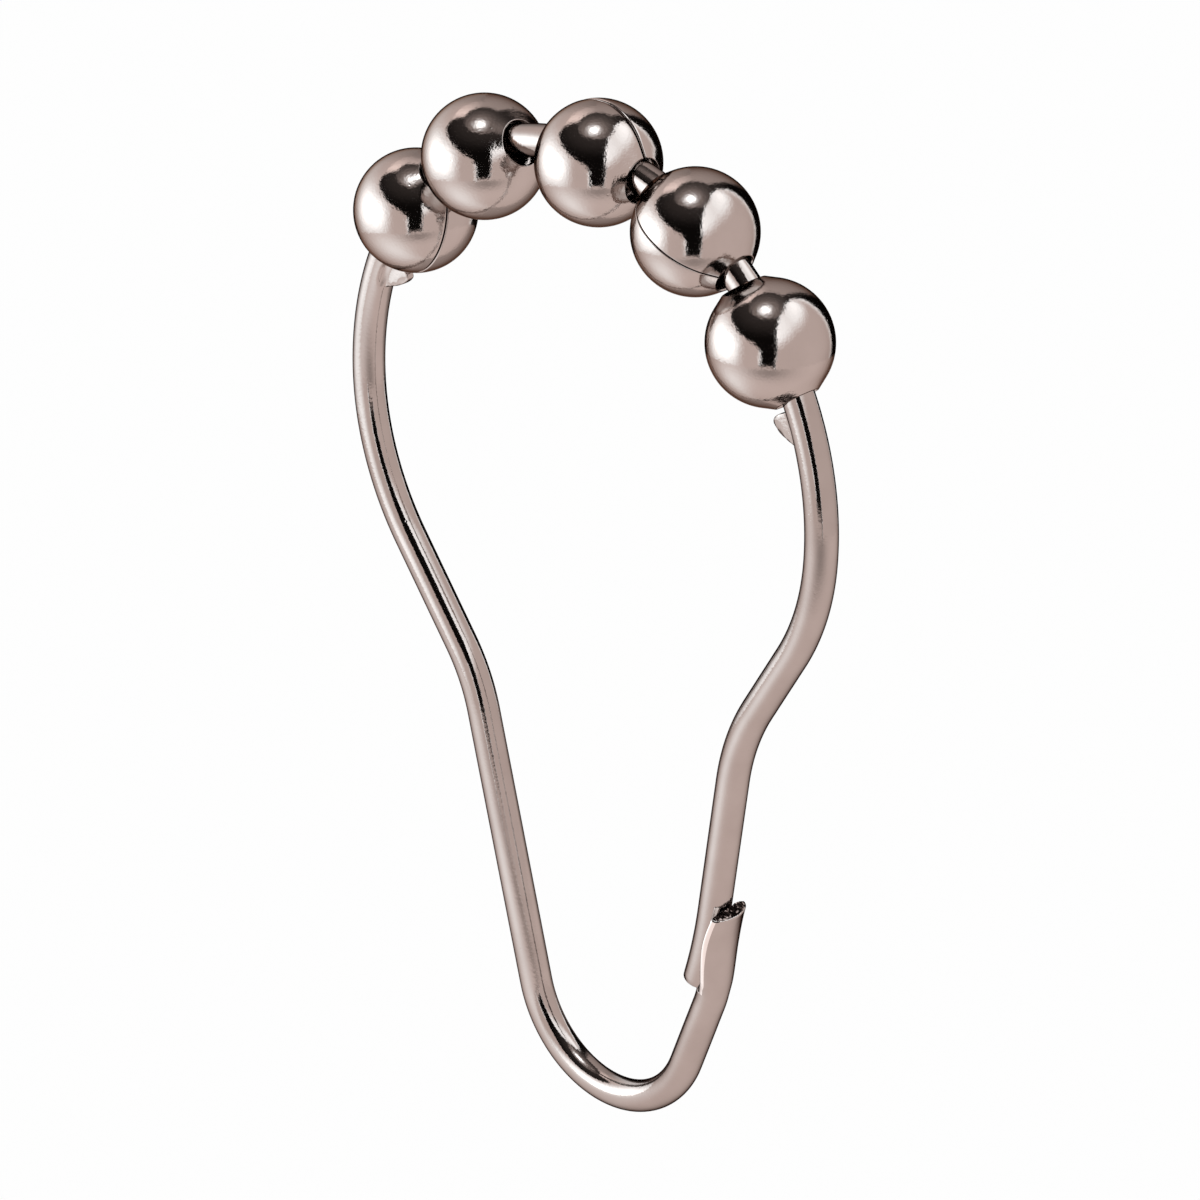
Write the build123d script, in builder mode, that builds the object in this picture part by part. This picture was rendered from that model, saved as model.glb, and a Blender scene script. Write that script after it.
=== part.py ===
from build123d import *

import os
from math import asin, cos, degrees, radians, sin, tan

# Roller ring for a shower curtain, in millimetres and degrees.
# The ring hangs in the XZ plane, +Z up, with the curtain rod running along Y through the origin,
# which is the centre of the arch. Arch angles are measured from the top towards +X.

# Wire
WIRE_DIAMETER = 2.4
ARCH_RADIUS = 22.6
ARCH_END_RIGHT = 97.0
ARCH_END_LEFT = 87.0
SHOULDER_RADIUS_RIGHT = 17.5
SHOULDER_RADIUS_LEFT = 20.5
NECK_LEAN_RIGHT = 34.3
NECK_LEAN_LEFT = 35.0
NECK_LENGTH_RIGHT = 6.0
NECK_LENGTH_LEFT = 8.6
WAIST_RADIUS_RIGHT = 16.8
WAIST_RADIUS_LEFT = 13.5
LEG_LEAN_RIGHT = 11.2
LEG_LEAN_LEFT = 12.4
LEG_LENGTH = 11.0
TOE_LENGTH = 6.15
TOE_TURN = 9.0
RISER_LEAN = 13.0
RISER_RUN = 4.45

# Catch: the wire's other end, pressed wide and cupped around the leg
CATCH_CLEARANCE = 0.15
CATCH_WALL = 0.9
CATCH_WIDTH = 3.4
CATCH_THICKNESS = 2.3
CATCH_LENGTH = 6.55
CATCH_FLARE = 3.6
CATCH_SETBACK = 0.25
CATCH_FOOT = 3.25
CATCH_NECK = 2.4
CATCH_TOP_NARROWING = 0.1
LIP_MIDDLE = 0.85
LIP_TOP = 1.3
LIP_BOTTOM = 1.0
SHELF_GAP = 0.3
SHELF_ROUND = 0.4

# Stops: two spots of the wire pinched from both sides, so that a fin stands out inwards
STOP_LENGTH = 2.6
STOP_HEIGHT = 1.65
STOP_CROWN = 1.35
STOP_THICKNESS = 0.7
STOP_ROUND = 0.6
STOP_GAP_LEFT = 0.6
STOP_GAP_RIGHT = 0.85
PINCH_LENGTH = 4.8
PINCH_RADIUS = 0.6
PINCH_RISE = 0.1

# Balls: sheet formed round, with a hole at each end and a butt seam from hole to hole
BALL_DIAMETER = 9.0
BALL_WALL = 0.5
BALL_DROP = 0.6
HOLE_CLEARANCE = 0.45
LIP_LATITUDE = 33.0
SEAM_WIDTH = 0.12
ROW_CENTRE = 2.6
BALL_GAPS = (0.3, 2.65, 0.7, 0.45)
SEAM_ANGLES = (-160.0, 100.0, 5.0, -83.0, 120.0)

# Sizes that follow from those above
WIRE_RADIUS = WIRE_DIAMETER / 2
GROOVE_RADIUS = WIRE_RADIUS + CATCH_CLEARANCE
CATCH_CENTRE = GROOVE_RADIUS + CATCH_WALL - CATCH_THICKNESS / 2
BALL_RADIUS = BALL_DIAMETER / 2
BALL_PATH_RADIUS = ARCH_RADIUS - BALL_DROP
HOLE_RADIUS = WIRE_RADIUS + HOLE_CLEARANCE
GUIDE_LENGTH = 4 * ARCH_RADIUS  # longer than the ring is tall
ACROSS = Vector(0, 1, 0)


def arch_directions(angle):
    """Outward and tangent directions of the arch at an angle from its top."""
    turn = radians(angle)
    outward = Vector(sin(turn), 0, cos(turn))
    tangent = Vector(cos(turn), 0, -sin(turn))
    return outward, tangent


def lip_height(sphere_radius):
    """Height above a ball's middle at which its straight end meets the hole."""
    latitude = radians(LIP_LATITUDE)
    run_in = sphere_radius * sin(latitude) - HOLE_RADIUS
    return sphere_radius * cos(latitude) + run_in * tan(latitude)


def wall_line(sphere_radius):
    """One skin of a ball's wall in section: a round side with a straight run to the hole at each end."""
    turn = 90 - LIP_LATITUDE
    side = CenterArc((0, 0), sphere_radius, -turn, 2 * turn)
    lower = Line((HOLE_RADIUS, -lip_height(sphere_radius)), side @ 0)
    upper = Line(side @ 1, (HOLE_RADIUS, lip_height(sphere_radius)))
    return Wire([lower, side, upper])


# Places of the balls and stops along the arch
ball_steps = [2 * degrees(asin((BALL_DIAMETER + gap) / 2 / BALL_PATH_RADIUS)) for gap in BALL_GAPS]
first_ball = ROW_CENTRE - sum(ball_steps) / 2
ball_angles = [first_ball + sum(ball_steps[:index]) for index in range(len(SEAM_ANGLES))]
stop_reach = lip_height(BALL_RADIUS) + STOP_LENGTH / 2
left_stop = ball_angles[0] - degrees((stop_reach + STOP_GAP_LEFT) / ARCH_RADIUS)
right_stop = ball_angles[-1] + degrees((stop_reach + STOP_GAP_RIGHT) / ARCH_RADIUS)

# Middle line of the wire, from the leg's tip over the arch to the foot of the catch
with BuildLine(Plane.XZ) as wire_path:
    arch = CenterArc((0, 0), ARCH_RADIUS, 90 - ARCH_END_RIGHT, ARCH_END_RIGHT + ARCH_END_LEFT)

    shoulder_turn = NECK_LEAN_RIGHT - (ARCH_END_RIGHT - 90)
    right_shoulder = JernArc(arch @ 0, -(arch % 0), SHOULDER_RADIUS_RIGHT, -shoulder_turn)
    right_neck = PolarLine(right_shoulder @ 1, NECK_LENGTH_RIGHT, direction=right_shoulder % 1)
    waist_turn = NECK_LEAN_RIGHT - LEG_LEAN_RIGHT
    right_waist = JernArc(right_neck @ 1, right_neck % 1, WAIST_RADIUS_RIGHT, waist_turn)
    right_leg = PolarLine(right_waist @ 1, LEG_LENGTH, direction=right_waist % 1)
    toe_radius = TOE_LENGTH / radians(TOE_TURN)
    toe = JernArc(right_leg @ 1, right_leg % 1, toe_radius, -TOE_TURN)

    shoulder_turn = NECK_LEAN_LEFT - (ARCH_END_LEFT - 90)
    left_shoulder = JernArc(arch @ 1, arch % 1, SHOULDER_RADIUS_LEFT, shoulder_turn)
    left_neck = PolarLine(left_shoulder @ 1, NECK_LENGTH_LEFT, direction=left_shoulder % 1)
    waist_turn = NECK_LEAN_LEFT - LEG_LEAN_LEFT
    left_waist = JernArc(left_neck @ 1, left_neck % 1, WAIST_RADIUS_LEFT, -waist_turn)

    # Frame of the catch: z up the leg, x outwards, at the level of the leg's tip
    up_leg = -(right_leg % 1)
    outwards = ACROSS.cross(up_leg)
    catch_plane = Plane(right_leg @ 1 - up_leg * TOE_LENGTH, x_dir=outwards, z_dir=up_leg)
    up_riser = up_leg.rotate(Axis((0, 0, 0), ACROSS), RISER_LEAN)
    riser_plane = Plane(
        catch_plane.from_local_coords((CATCH_CENTRE, 0, 0)) - up_riser * CATCH_FOOT,
        x_dir=ACROSS.cross(up_riser),
        z_dir=up_riser,
    )
    riser = PolarLine(riser_plane.origin, GUIDE_LENGTH, direction=-up_riser, mode=Mode.PRIVATE)
    left_leg = IntersectingLine(left_waist @ 1, left_waist % 1, riser, mode=Mode.PRIVATE)

    # Bottom bend, as wide as leaves the riser its straight run below the catch
    corner = left_leg @ 1
    corner_angle = radians(LEG_LEAN_LEFT + LEG_LEAN_RIGHT + RISER_LEAN)
    bend_reach = (riser_plane.origin - corner).length - RISER_RUN
    bottom_radius = bend_reach * tan(corner_angle / 2)
    FilletPolyline(left_waist @ 1, corner, riser_plane.origin, radius=bottom_radius)

# Catch, before it joins the wire
with BuildPart() as catch:
    for height in (0, CATCH_NECK):
        with BuildSketch(riser_plane.offset(height)):
            Circle(WIRE_RADIUS)
    with BuildSketch(catch_plane.offset(CATCH_FLARE)):
        with Locations((CATCH_CENTRE - CATCH_SETBACK, 0)):
            Ellipse(CATCH_THICKNESS / 2, CATCH_WIDTH / 2)
    with BuildSketch(catch_plane.offset(CATCH_LENGTH)):
        with Locations((CATCH_CENTRE, 0)):
            Ellipse(CATCH_THICKNESS / 2 - CATCH_TOP_NARROWING / 2, CATCH_WIDTH / 2 - CATCH_TOP_NARROWING / 2)
    loft()

    # Groove for the leg, closed below by a shelf just under the leg's tip
    with BuildSketch(catch_plane.offset(-SHELF_GAP)):
        Circle(GROOVE_RADIUS)
    clear = CATCH_LENGTH + CATCH_WIDTH
    extrude(amount=clear, mode=Mode.SUBTRACT)

    # Lips, trimmed to a curved edge, and open towards the inside of the ring
    with BuildSketch(Plane(catch_plane.origin, x_dir=outwards, z_dir=-ACROSS)) as trim:
        with BuildLine():
            lip = ThreePointArc(
                (LIP_BOTTOM, -SHELF_GAP),
                (LIP_MIDDLE, CATCH_LENGTH / 2),
                (LIP_TOP, CATCH_LENGTH),
            )
            Polyline(lip @ 1, (LIP_TOP, clear), (-clear, clear), (-clear, -SHELF_GAP), lip @ 0)
        make_face()
        fillet(trim.vertices().sort_by_distance(lip @ 0)[0], SHELF_ROUND)
    extrude(amount=CATCH_WIDTH, both=True, mode=Mode.SUBTRACT)

# Frames of the stops, x along the wire and y inwards, with the side on which the balls are
stops = []
for stop_angle, ball_side in ((left_stop, 1), (right_stop, -1)):
    outward, tangent = arch_directions(stop_angle)
    stops.append((Plane(outward * ARCH_RADIUS, x_dir=tangent, z_dir=ACROSS), ball_side))

# Punch marks that pinch the wire at each stop, from the front and from the back
with BuildPart() as punches:
    for stop_plane, _ in stops:
        for side in (1, -1):
            height = side * (STOP_THICKNESS / 2 + PINCH_RADIUS)
            middle = stop_plane.from_local_coords((0, WIRE_RADIUS + PINCH_RISE, height))
            with BuildSketch(Plane(middle, x_dir=stop_plane.x_dir, z_dir=ACROSS)):
                with BuildLine():
                    bow = ThreePointArc((-PINCH_LENGTH / 2, 0), (0, PINCH_RADIUS), (PINCH_LENGTH / 2, 0))
                    Line(bow @ 1, bow @ 0)
                make_face()
            revolve(axis=Axis(middle, stop_plane.x_dir))

# Fins left between the punch marks: square towards the balls, and run out along the wire
with BuildPart() as fins:
    for stop_plane, ball_side in stops:
        near = ball_side * STOP_LENGTH / 2
        with BuildSketch(stop_plane) as fin:
            with BuildLine():
                crest = ThreePointArc(
                    (near, WIRE_RADIUS + STOP_HEIGHT),
                    (0, WIRE_RADIUS + STOP_CROWN),
                    (-near, WIRE_RADIUS),
                )
                Polyline(crest @ 1, (-near, 0), (near, 0), crest @ 0)
            make_face()
            fillet(fin.vertices().sort_by_distance(crest @ 0)[0], STOP_ROUND)
        extrude(amount=STOP_THICKNESS / 2, both=True)

# One wire: a swept round bar with its catch, pinched at the stops
with BuildPart() as wire_ring:
    middle_line = Wire(wire_path.edges())
    with BuildSketch(Plane(middle_line @ 0, z_dir=middle_line % 0)):
        Circle(WIRE_RADIUS)
    sweep(path=middle_line)
    add(catch.part)
    add(punches.part, mode=Mode.SUBTRACT)
    add(fins.part)

# Balls, in order from the left, each turned on the wire so that its seam faces its own way
balls = []
for ball_angle, seam_angle in zip(ball_angles, SEAM_ANGLES):
    outward, tangent = arch_directions(ball_angle)
    roll = radians(seam_angle)
    to_seam = outward * cos(roll) + ACROSS * sin(roll)
    ball_plane = Plane(outward * BALL_PATH_RADIUS, x_dir=to_seam, z_dir=tangent)
    with BuildPart() as ball:
        with BuildSketch(Plane(ball_plane.origin, x_dir=to_seam, z_dir=to_seam.cross(tangent))):
            with BuildLine():
                outer = wall_line(BALL_RADIUS)
                inner = wall_line(BALL_RADIUS - BALL_WALL)
                for end in (0, 1):
                    Line(outer @ end, inner @ end)
            make_face()
        revolve(axis=Axis(ball_plane.origin, tangent))
        with BuildSketch(ball_plane):
            Rectangle(BALL_DIAMETER, SEAM_WIDTH, align=(Align.MIN, Align.CENTER))
        extrude(amount=BALL_DIAMETER, both=True, mode=Mode.SUBTRACT)
    balls.append(ball)

os.makedirs("parts", exist_ok=True)
wire_ring.part.label = "wire_ring"
export_step(wire_ring.part, "parts/wire_ring.step")
for number, ball in enumerate(balls, start=1):
    ball.part.label = f"roller_ball_{number}"
    export_step(ball.part, f"parts/roller_ball_{number}.step")
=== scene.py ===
import math

import bpy
import numpy as np
from mathutils import Matrix


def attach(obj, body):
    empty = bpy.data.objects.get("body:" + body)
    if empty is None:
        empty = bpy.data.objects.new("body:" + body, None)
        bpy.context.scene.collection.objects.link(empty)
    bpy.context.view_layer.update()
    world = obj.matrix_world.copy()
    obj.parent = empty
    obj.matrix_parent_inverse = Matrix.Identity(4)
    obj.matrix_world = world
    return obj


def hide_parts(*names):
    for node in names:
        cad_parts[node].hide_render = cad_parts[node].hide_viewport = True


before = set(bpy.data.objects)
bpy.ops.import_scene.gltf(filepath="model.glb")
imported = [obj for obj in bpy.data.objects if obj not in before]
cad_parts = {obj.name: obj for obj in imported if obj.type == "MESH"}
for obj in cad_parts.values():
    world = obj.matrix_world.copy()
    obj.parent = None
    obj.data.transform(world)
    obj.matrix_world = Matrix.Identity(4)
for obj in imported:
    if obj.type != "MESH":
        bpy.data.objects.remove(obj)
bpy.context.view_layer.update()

# Named lengths are in millimetres and named angles in degrees. Lengths turn to metres as meshes are made.
MM = 0.001

# Wire, as in the part's source
WIRE_RADIUS = 1.2
ARCH_RADIUS = 22.6
ARCH_END_RIGHT, ARCH_END_LEFT = 97.0, 87.0
SHOULDER_RADIUS_RIGHT, SHOULDER_RADIUS_LEFT = 17.5, 20.5
NECK_LEAN_RIGHT, NECK_LEAN_LEFT = 34.3, 35.0
NECK_LENGTH_RIGHT, NECK_LENGTH_LEFT = 6.0, 8.6
WAIST_RADIUS_RIGHT, WAIST_RADIUS_LEFT = 16.8, 13.5
LEG_LEAN_RIGHT, LEG_LEAN_LEFT = 11.2, 12.4
LEG_LENGTH = 11.0
TOE_LENGTH, TOE_TURN = 6.15, 9.0
RISER_LEAN, RISER_RUN = 13.0, 4.45

# Catch, as in the part's source
GROOVE_RADIUS = 1.35
CATCH_CENTRE = 1.1
CATCH_WIDTH, CATCH_THICKNESS = 3.4, 2.3
CATCH_LENGTH, CATCH_FLARE, CATCH_SETBACK = 6.55, 3.6, 0.25
CATCH_FOOT = 3.25
CATCH_TOP_NARROWING = 0.1
LIP_BOTTOM, LIP_MIDDLE, LIP_TOP = 1.0, 0.85, 1.3
SHELF_GAP = 0.3

# Stops, as in the part's source
STOP_LENGTH, STOP_HEIGHT, STOP_CROWN = 2.6, 1.65, 1.35
STOP_THICKNESS, STOP_ROUND = 0.7, 0.6
STOP_GAP_LEFT, STOP_GAP_RIGHT = 0.6, 0.85
PINCH_LENGTH, PINCH_RADIUS, PINCH_RISE = 4.8, 0.6, 0.1

# Balls, as in the part's source, but for seams of unequal width with rounded edges
BALL_RADIUS = 4.5
BALL_WALL = 0.5
BALL_PATH_RADIUS = 22.0
HOLE_RADIUS = 1.65
LIP_LATITUDE = 33.0
ROW_CENTRE = 2.6
BALL_GAPS = (0.3, 2.65, 0.7, 0.45)
SEAM_ANGLES = (-160.0, 100.0, 5.0, -83.0, 120.0)
SEAM_WIDTHS = (0.11, 0.06, 0.18, 0.10, 0.06)
SEAM_ROUNDS = (0.10, 0.05, 0.20, 0.06, 0.05)

# Camera, fitted to the circles of the balls in the photograph
CAMERA_AZIMUTH, CAMERA_ELEVATION, CAMERA_ROLL = 45.54, 22.78, -1.80
CAMERA_DISTANCE = 473.7
CAMERA_LENS, CAMERA_SENSOR = 200.7, 36.0
CAMERA_SHIFT_RIGHT, CAMERA_SHIFT_UP = 0.825, -10.63


def mesh_piece(name, points_mm, faces, materials=(), face_materials=None):
    """A smooth-shaded mesh object from points in millimetres."""
    mesh = bpy.data.meshes.new(name)
    mesh.from_pydata((np.asarray(points_mm) * MM).tolist(), [], faces)
    for material in materials:
        mesh.materials.append(material)
    mesh.polygons.foreach_set("use_smooth", [True] * len(mesh.polygons))
    if face_materials is not None:
        mesh.polygons.foreach_set("material_index", face_materials)
    mesh.validate()
    mesh.update()
    piece = bpy.data.objects.new(name, mesh)
    bpy.context.scene.collection.objects.link(piece)
    return piece


def smooth_step(value, low, high):
    """0 below low, 1 above high, and smooth between them."""
    t = np.clip((value - low) / (high - low), 0.0, 1.0)
    return t * t * (3 - 2 * t)


def soft_min(a, b, width):
    """The smaller of two values, with the corner where they meet rounded."""
    return 0.5 * (a + b - np.sqrt((a - b) ** 2 + width**2))


def soft_max(a, b, width):
    """The larger of two values, with the corner where they meet rounded."""
    return 0.5 * (a + b + np.sqrt((a - b) ** 2 + width**2))


# Places along the wire: a path in the XZ plane, in runs of a length and a turn that is even or none
def advance(point, heading, length, run):
    """Points and headings at an array of lengths along one run."""
    length = np.asarray(length, dtype=float)
    whole, turn = run[0], math.radians(run[1])
    if turn == 0:
        headings = np.full(length.shape, heading)
        steps = np.stack([np.cos(headings), np.sin(headings)], -1) * length[..., None]
        return point + steps, headings
    bend = turn / whole
    headings = heading + bend * length
    steps = np.stack([np.sin(headings) - math.sin(heading), math.cos(heading) - np.cos(headings)], -1)
    return point + steps / bend, headings


def trace(point, heading, runs):
    """Start point and heading of every run, and of the path's end."""
    starts = [(np.array(point, dtype=float), heading)]
    for run in runs:
        point, heading = advance(*starts[-1], run[0], run)
        starts.append((point, float(heading)))
    return starts


def arc(radius, turn):
    """A run that turns evenly, from its radius."""
    return (radius * math.radians(abs(turn)), turn)


def at_angle(angle, radius):
    """A point at an angle from the top of the arch, towards the right."""
    return np.array([math.sin(math.radians(angle)), math.cos(math.radians(angle))]) * radius


right_down = [
    arc(SHOULDER_RADIUS_RIGHT, -(NECK_LEAN_RIGHT - (ARCH_END_RIGHT - 90))),
    (NECK_LENGTH_RIGHT, 0.0),
    arc(WAIST_RADIUS_RIGHT, NECK_LEAN_RIGHT - LEG_LEAN_RIGHT),
    (LEG_LENGTH, 0.0),
    (TOE_LENGTH, -TOE_TURN),
]
right_starts = trace(at_angle(ARCH_END_RIGHT, ARCH_RADIUS), math.radians(-ARCH_END_RIGHT), right_down)
tip, tip_heading = right_starts[-1]
leg_end, leg_heading = right_starts[-2]

left_down = [
    arc(SHOULDER_RADIUS_LEFT, NECK_LEAN_LEFT - (ARCH_END_LEFT - 90)),
    (NECK_LENGTH_LEFT, 0.0),
    arc(WAIST_RADIUS_LEFT, -(NECK_LEAN_LEFT - LEG_LEAN_LEFT)),
]
left_starts = trace(at_angle(-ARCH_END_LEFT, ARCH_RADIUS), math.radians(ARCH_END_LEFT - 180), left_down)
waist_end, waist_heading = left_starts[-1]

up_leg = -np.array([math.cos(leg_heading), math.sin(leg_heading)])
outwards = np.array([up_leg[1], -up_leg[0]])
lean = math.radians(RISER_LEAN)
up_riser = up_leg * math.cos(lean) + outwards * math.sin(lean)
catch_origin = leg_end - up_leg * TOE_LENGTH
riser_end = catch_origin + outwards * CATCH_CENTRE - up_riser * CATCH_FOOT

down_leg = np.array([math.cos(waist_heading), math.sin(waist_heading)])
along_leg, along_riser = np.linalg.solve(np.stack([down_leg, up_riser], 1), riser_end - waist_end)
corner_angle = math.radians(LEG_LEAN_LEFT + LEG_LEAN_RIGHT + RISER_LEAN)
bend_reach = along_riser - RISER_RUN
bottom_radius = bend_reach * math.tan(corner_angle / 2)

wire_runs = [(length, -turn) for length, turn in reversed(right_down)]
arch_start = sum(length for length, _ in wire_runs)
wire_runs.append(arc(ARCH_RADIUS, ARCH_END_RIGHT + ARCH_END_LEFT))
wire_runs += left_down
wire_runs.append((along_leg - bend_reach, 0.0))
wire_runs.append(arc(bottom_radius, 180 - math.degrees(corner_angle)))
wire_runs.append((RISER_RUN, 0.0))
wire_starts = trace(tip, tip_heading + math.pi, wire_runs)


# Places of the balls and stops along the arch
def ball_step(gap):
    """Angle on the arch from one ball to the next, with a gap between them."""
    return 2 * math.degrees(math.asin((2 * BALL_RADIUS + gap) / 2 / BALL_PATH_RADIUS))


def lip_height(radius):
    """Height above a ball's middle at which the straight run of a skin meets the hole."""
    return radius * math.cos(latitude) + (radius * math.sin(latitude) - HOLE_RADIUS) * math.tan(latitude)


latitude = math.radians(LIP_LATITUDE)
ball_steps = [ball_step(gap) for gap in BALL_GAPS]
first_ball = ROW_CENTRE - sum(ball_steps) / 2
ball_angles = [first_ball + sum(ball_steps[:index]) for index in range(len(SEAM_ANGLES))]
stop_reach = lip_height(BALL_RADIUS) + STOP_LENGTH / 2
left_stop = ball_angles[0] - math.degrees((stop_reach + STOP_GAP_LEFT) / ARCH_RADIUS)
right_stop = ball_angles[-1] + math.degrees((stop_reach + STOP_GAP_RIGHT) / ARCH_RADIUS)

# Materials: noise scales are per metre, and depths of bumps in millimetres
NOISE_RANGE = (0.3, 0.7)
BLOTCH_SCALE, BLOTCH_DETAIL = 420.0, 4.0
POLISH_SCALE, POLISH_DETAIL = 900.0, 5.0
GRAIN_SCALE, GRAIN_DETAIL, GRAIN_DEPTH = 4800.0, 3.0, 0.02
PIT_SCALE, PIT_RIM, PIT_DEPTH, PIT_STRENGTH = 700.0, (0.02, 0.07), 0.02, 0.35
TEAR_SCALE, TEAR_DETAIL, TEAR_DEPTH, TEAR_STRENGTH = 3400.0, 6.0, 0.2, 1.0
TEAR_ROUGHNESS = (0.25, 0.5)
# Colours of the torn end: near-black as painted shade, with pale flecks as painted glints
TORN_SHADE_AND_GLINT_COLOURS = ((0.49, (0.006, 0.004, 0.004)), (0.57, (0.07, 0.05, 0.045)), (0.63, (0.85, 0.78, 0.75)))
# Edge tints are nearly black, so reflections darken towards the outlines: painted shade along the edges
WIRE_EDGE, BALL_EDGE = (0.02, 0.01, 0.008, 1.0), (0.20, 0.13, 0.10, 1.0)
WIRE_DARK, WIRE_LIGHT = (0.462, 0.428, 0.414), (0.500, 0.468, 0.454)
# Near-white nickel for the faces along the cup's lips: a painted highlight along them
LIP_HIGHLIGHT_DARK, LIP_HIGHLIGHT_LIGHT = (0.90, 0.90, 0.90), (0.96, 0.96, 0.96)
BALL_DARK, BALL_LIGHT = (0.505, 0.470, 0.455), (0.535, 0.500, 0.485)


def nodes_of(name):
    """A new material, with its nodes, links and shader."""
    material = bpy.data.materials.new(name)
    material.use_nodes = True
    nodes, links = material.node_tree.nodes, material.node_tree.links
    return material, nodes, links, nodes["Principled BSDF"]


def add_noise(nodes, links, coordinates, scale, detail):
    """Noise at a scale, as one value."""
    noise = nodes.new("ShaderNodeTexNoise")
    noise.inputs["Scale"].default_value = scale
    noise.inputs["Detail"].default_value = detail
    links.new(coordinates, noise.inputs["Vector"])
    return noise.outputs["Fac"]


def ramp(nodes, links, value, stops):
    """A colour that follows a value, from stops of a position and a colour."""
    node = nodes.new("ShaderNodeValToRGB")
    while len(node.color_ramp.elements) < len(stops):
        node.color_ramp.elements.new(0.5)
    for element, (position, colour) in zip(node.color_ramp.elements, stops):
        element.position = position
        element.color = (*colour, 1.0)
    links.new(value, node.inputs["Fac"])
    return node.outputs["Color"]


def remap(nodes, links, value, span, to_span):
    """A value moved from one span to another."""
    node = nodes.new("ShaderNodeMapRange")
    for name, number in zip(("From Min", "From Max", "To Min", "To Max"), (*span, *to_span)):
        node.inputs[name].default_value = number
    links.new(value, node.inputs["Value"])
    return node.outputs["Result"]


def add_bump(nodes, links, height, depth, strength, before=None):
    """A normal bent by a height, on top of an earlier one where given."""
    bump = nodes.new("ShaderNodeBump")
    bump.inputs["Distance"].default_value = depth * MM
    bump.inputs["Strength"].default_value = strength
    links.new(height, bump.inputs["Height"])
    if before is not None:
        links.new(before, bump.inputs["Normal"])
    return bump.outputs["Normal"]


def nickel(name, dark, light, edge, roughness, grain):
    """Polished nickel plate: faint blotches in colour and polish, a fine grain, and tiny pits."""
    material, nodes, links, shader = nodes_of(name)
    coordinates = nodes.new("ShaderNodeTexCoord").outputs["Object"]
    shader.inputs["Metallic"].default_value = 1.0
    shader.inputs["Specular Tint"].default_value = edge
    blotches = add_noise(nodes, links, coordinates, BLOTCH_SCALE, BLOTCH_DETAIL)
    colour = ramp(nodes, links, blotches, list(zip(NOISE_RANGE, (dark, light))))
    links.new(colour, shader.inputs["Base Color"])
    polish = add_noise(nodes, links, coordinates, POLISH_SCALE, POLISH_DETAIL)
    links.new(remap(nodes, links, polish, NOISE_RANGE, roughness), shader.inputs["Roughness"])
    fine = add_noise(nodes, links, coordinates, GRAIN_SCALE, GRAIN_DETAIL)
    normal = add_bump(nodes, links, fine, GRAIN_DEPTH, grain)
    pits = nodes.new("ShaderNodeTexVoronoi")
    pits.inputs["Scale"].default_value = PIT_SCALE
    pits.inputs["Randomness"].default_value = 1.0
    links.new(coordinates, pits.inputs["Vector"])
    pit_height = remap(nodes, links, pits.outputs["Distance"], PIT_RIM, (0.0, 1.0))
    normal = add_bump(nodes, links, pit_height, PIT_DEPTH, PIT_STRENGTH, normal)
    links.new(normal, shader.inputs["Normal"])
    return material


def cut_metal(name):
    """Bare sheared end, rough and torn, coloured near-black as painted shade with pale flecks as painted
    glints.
    """
    material, nodes, links, shader = nodes_of(name)
    coordinates = nodes.new("ShaderNodeTexCoord").outputs["Object"]
    shader.inputs["Metallic"].default_value = 1.0
    tears = add_noise(nodes, links, coordinates, TEAR_SCALE, TEAR_DETAIL)
    links.new(ramp(nodes, links, tears, TORN_SHADE_AND_GLINT_COLOURS), shader.inputs["Base Color"])
    links.new(remap(nodes, links, tears, NOISE_RANGE, TEAR_ROUGHNESS), shader.inputs["Roughness"])
    links.new(add_bump(nodes, links, tears, TEAR_DEPTH, TEAR_STRENGTH), shader.inputs["Normal"])
    return material


wire_metal = nickel("nickel_wire", WIRE_DARK, WIRE_LIGHT, WIRE_EDGE, roughness=(0.05, 0.11), grain=0.32)
# The cup's lips get near-white nickel, a painted highlight along them
lip_highlight_metal = nickel("nickel_lip_painted_highlight", LIP_HIGHLIGHT_DARK, LIP_HIGHLIGHT_LIGHT, WIRE_EDGE, roughness=(0.08, 0.14), grain=0.40)
ball_metal = nickel("nickel_ball", BALL_DARK, BALL_LIGHT, BALL_EDGE, roughness=(0.06, 0.10), grain=0.45)
cut_end = cut_metal("cut_end")

# Wire: one closed skin from the leg's tip to the end of the catch, in rings of equal counts
HALF_RING = 48
RING_SIZE = 2 * HALF_RING
RING_STEP, FINE_STEP = 0.4, 0.045
TIP_BEVEL, TIP_REACH, TIP_RINGS = 0.12, 0.1, 4
STOP_MARGIN = 1.1
STOP_SPAN = STOP_LENGTH / 2 + STOP_MARGIN  # half the length that has fine rings
GATHER_FADE, GATHER_POWER = 0.5, 1.9
PINCH_SOFT, FIN_SOFT = 0.04, 0.16
TINY = 1e-3

half = (np.arange(HALF_RING) + 0.5) / HALF_RING


def wire_ring_angles(gather):
    """Angles round a ring from its inward side: the outer half, then the inner half.

    The inner half is drawn together, by a share from 0 to 1, where a fin needs its points.
    """
    outer = np.pi / 2 + half * np.pi
    spread = 2 * half - 1
    even = spread * np.pi / 2
    drawn = np.sign(spread) * np.abs(spread) ** GATHER_POWER * np.pi / 2
    return np.concatenate([outer, even * (1 - gather) + drawn * gather])


def crest_height(along):
    """Height of a stop's fin above the wire's middle, from its run-out end (-) to its square end (+)."""
    near = STOP_LENGTH / 2
    ends = np.array([[near, STOP_HEIGHT], [0.0, STOP_CROWN], [-near, 0.0]])
    parabola = np.polyfit(ends[:, 0], ends[:, 1], 2)
    height = WIRE_RADIUS + np.polyval(parabola, np.clip(along, -near, near))
    corner = np.clip(along - (near - STOP_ROUND), 0.0, STOP_ROUND)
    height -= STOP_ROUND - np.sqrt(np.maximum(STOP_ROUND**2 - corner**2, 0.0))
    return height


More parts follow.
